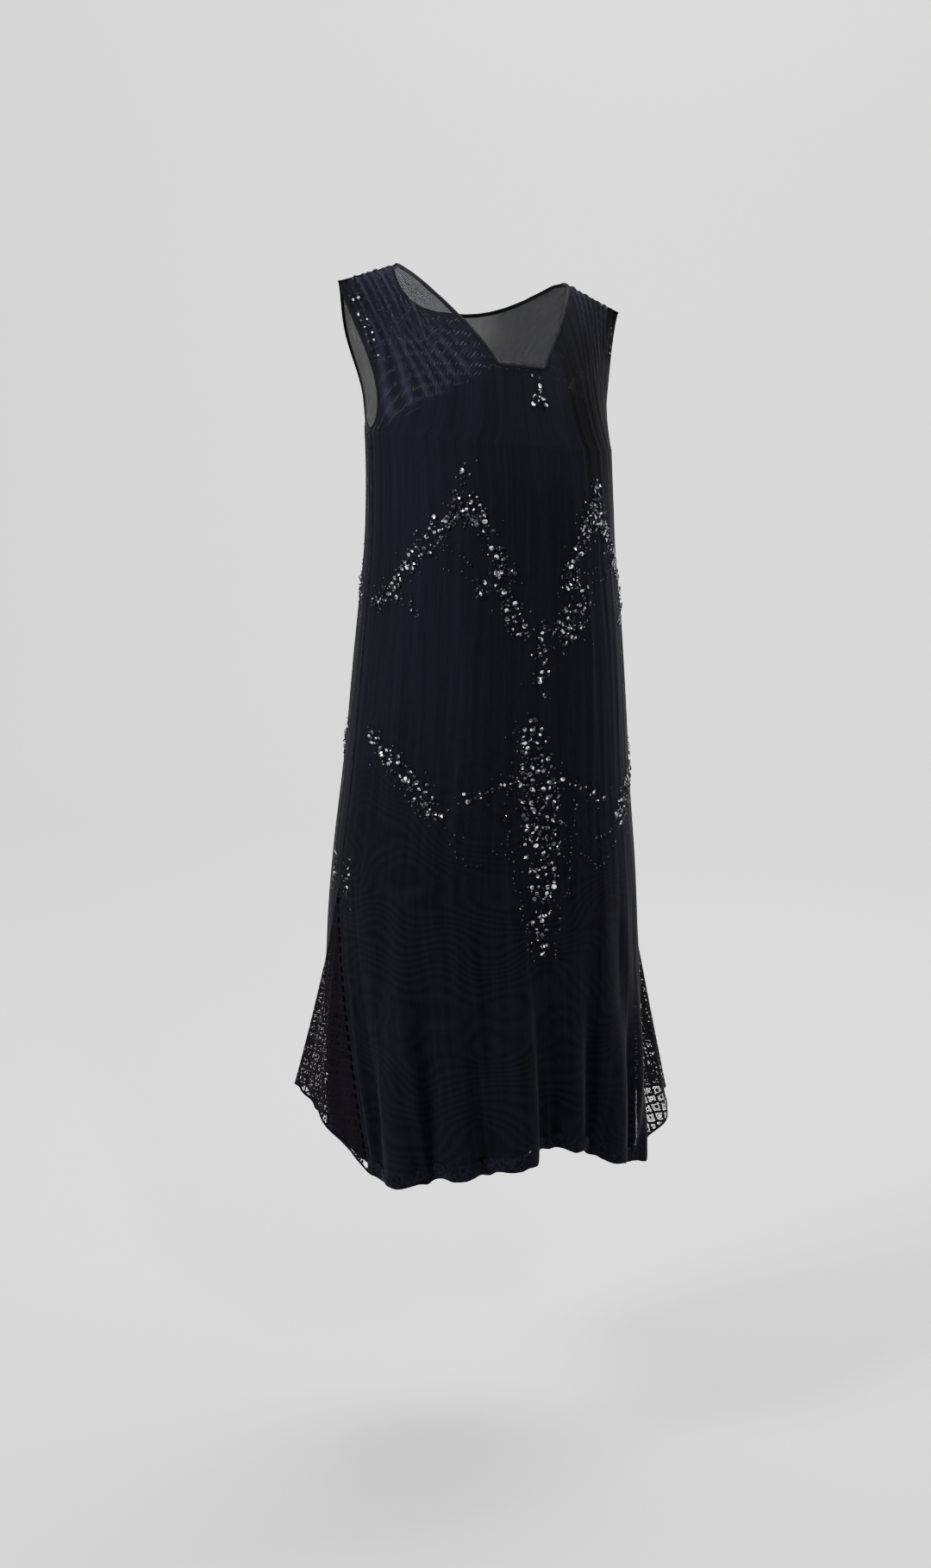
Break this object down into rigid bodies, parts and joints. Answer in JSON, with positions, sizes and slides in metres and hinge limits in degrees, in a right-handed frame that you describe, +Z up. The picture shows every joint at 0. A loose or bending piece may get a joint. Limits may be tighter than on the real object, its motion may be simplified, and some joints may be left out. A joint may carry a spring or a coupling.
{
  "type": "cocktail dress",
  "caption": "Sleeveless low-waisted cocktail dress of dark sequinned net over an opaque slip, with a trapezoid neckline and sheer flared side godets, hollow as worn",
  "frame": {"origin": "where the wearer's shoulders hold the dress: on the line of the shoulder seams, midway between them", "axes": "+Z up, the front faces -Y, the wearer's left is +X"},
  "size_m": [0.519, 0.3465, 1.1319],
  "materials": {
    "net": "sheer blue-black net worked with sequins and beads",
    "godet": "sheer black patterned net",
    "slip": "opaque blue-black crepe",
    "binding": "narrow black satin binding"
  },
  "bodies": {
    "root": {"net_front": "net", "net_back": "net", "godet_right": "godet", "godet_left": "godet", "slip_front": "slip", "slip_back": "slip", "neck_binding": "binding", "armhole_right_binding": "binding", "armhole_left_binding": "binding"}
  },
  "joints": []
}
